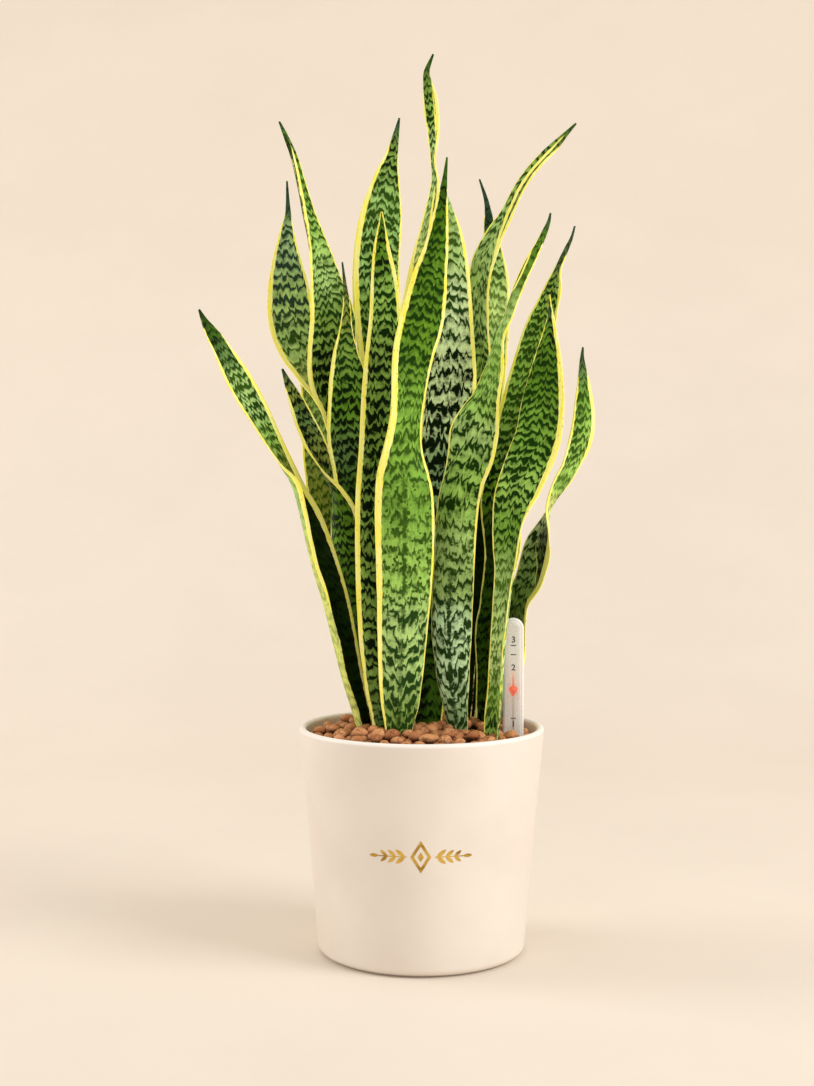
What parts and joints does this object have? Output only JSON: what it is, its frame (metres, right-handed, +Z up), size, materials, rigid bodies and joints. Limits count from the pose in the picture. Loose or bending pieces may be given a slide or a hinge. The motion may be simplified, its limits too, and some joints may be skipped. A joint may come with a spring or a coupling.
{
  "type": "potted snake plant",
  "caption": "Snake plant with upright yellow-edged banded leaves, in a tapered cream pot of fired-clay pebbles with a round-topped water gauge.",
  "frame": {"origin": "middle of the flat foot that the pot stands on", "axes": "+Z up; +X to the right as the plant is seen from its front, towards the water gauge; +Y away from the viewer"},
  "size_m": [0.3362, 0.2104, 0.7726],
  "materials": {
    "cream_pot": "satin",
    "fired_clay": "matte",
    "root": "matte",
    "frosted_plastic": "satin",
    "white_foam": "matte",
    "red_plastic": "gloss",
    "striped_leaf": "satin",
    "pale_striped_leaf": "satin"
  },
  "bodies": {
    "planter": {"pot": "cream_pot", "pebble_bed": "fired_clay", "rhizome": "root", "gauge_tube": "frosted_plastic", "leaf_far_left": "striped_leaf", "leaf_left_short": "striped_leaf", "leaf_left_tall": "striped_leaf", "leaf_left_highest": "striped_leaf", "leaf_left_inner": "striped_leaf", "leaf_left_hidden": "striped_leaf", "leaf_centre_left": "striped_leaf", "leaf_front": "striped_leaf", "leaf_back_broad": "striped_leaf", "leaf_highest": "striped_leaf", "leaf_pale": "pale_striped_leaf", "leaf_back_right": "striped_leaf", "leaf_arching_right": "striped_leaf", "leaf_front_right": "striped_leaf", "leaf_broad_right": "striped_leaf", "leaf_behind_right": "striped_leaf", "leaf_far_right": "striped_leaf"},
    "float": {"gauge_float": "white_foam", "gauge_pointer": "red_plastic"}
  },
  "joints": [
    {"name": "float_slide", "type": "slide", "parent": "planter", "child": "float", "axis": [0, 0, 1], "range_m": [-0.022, 0.04]}
  ]
}
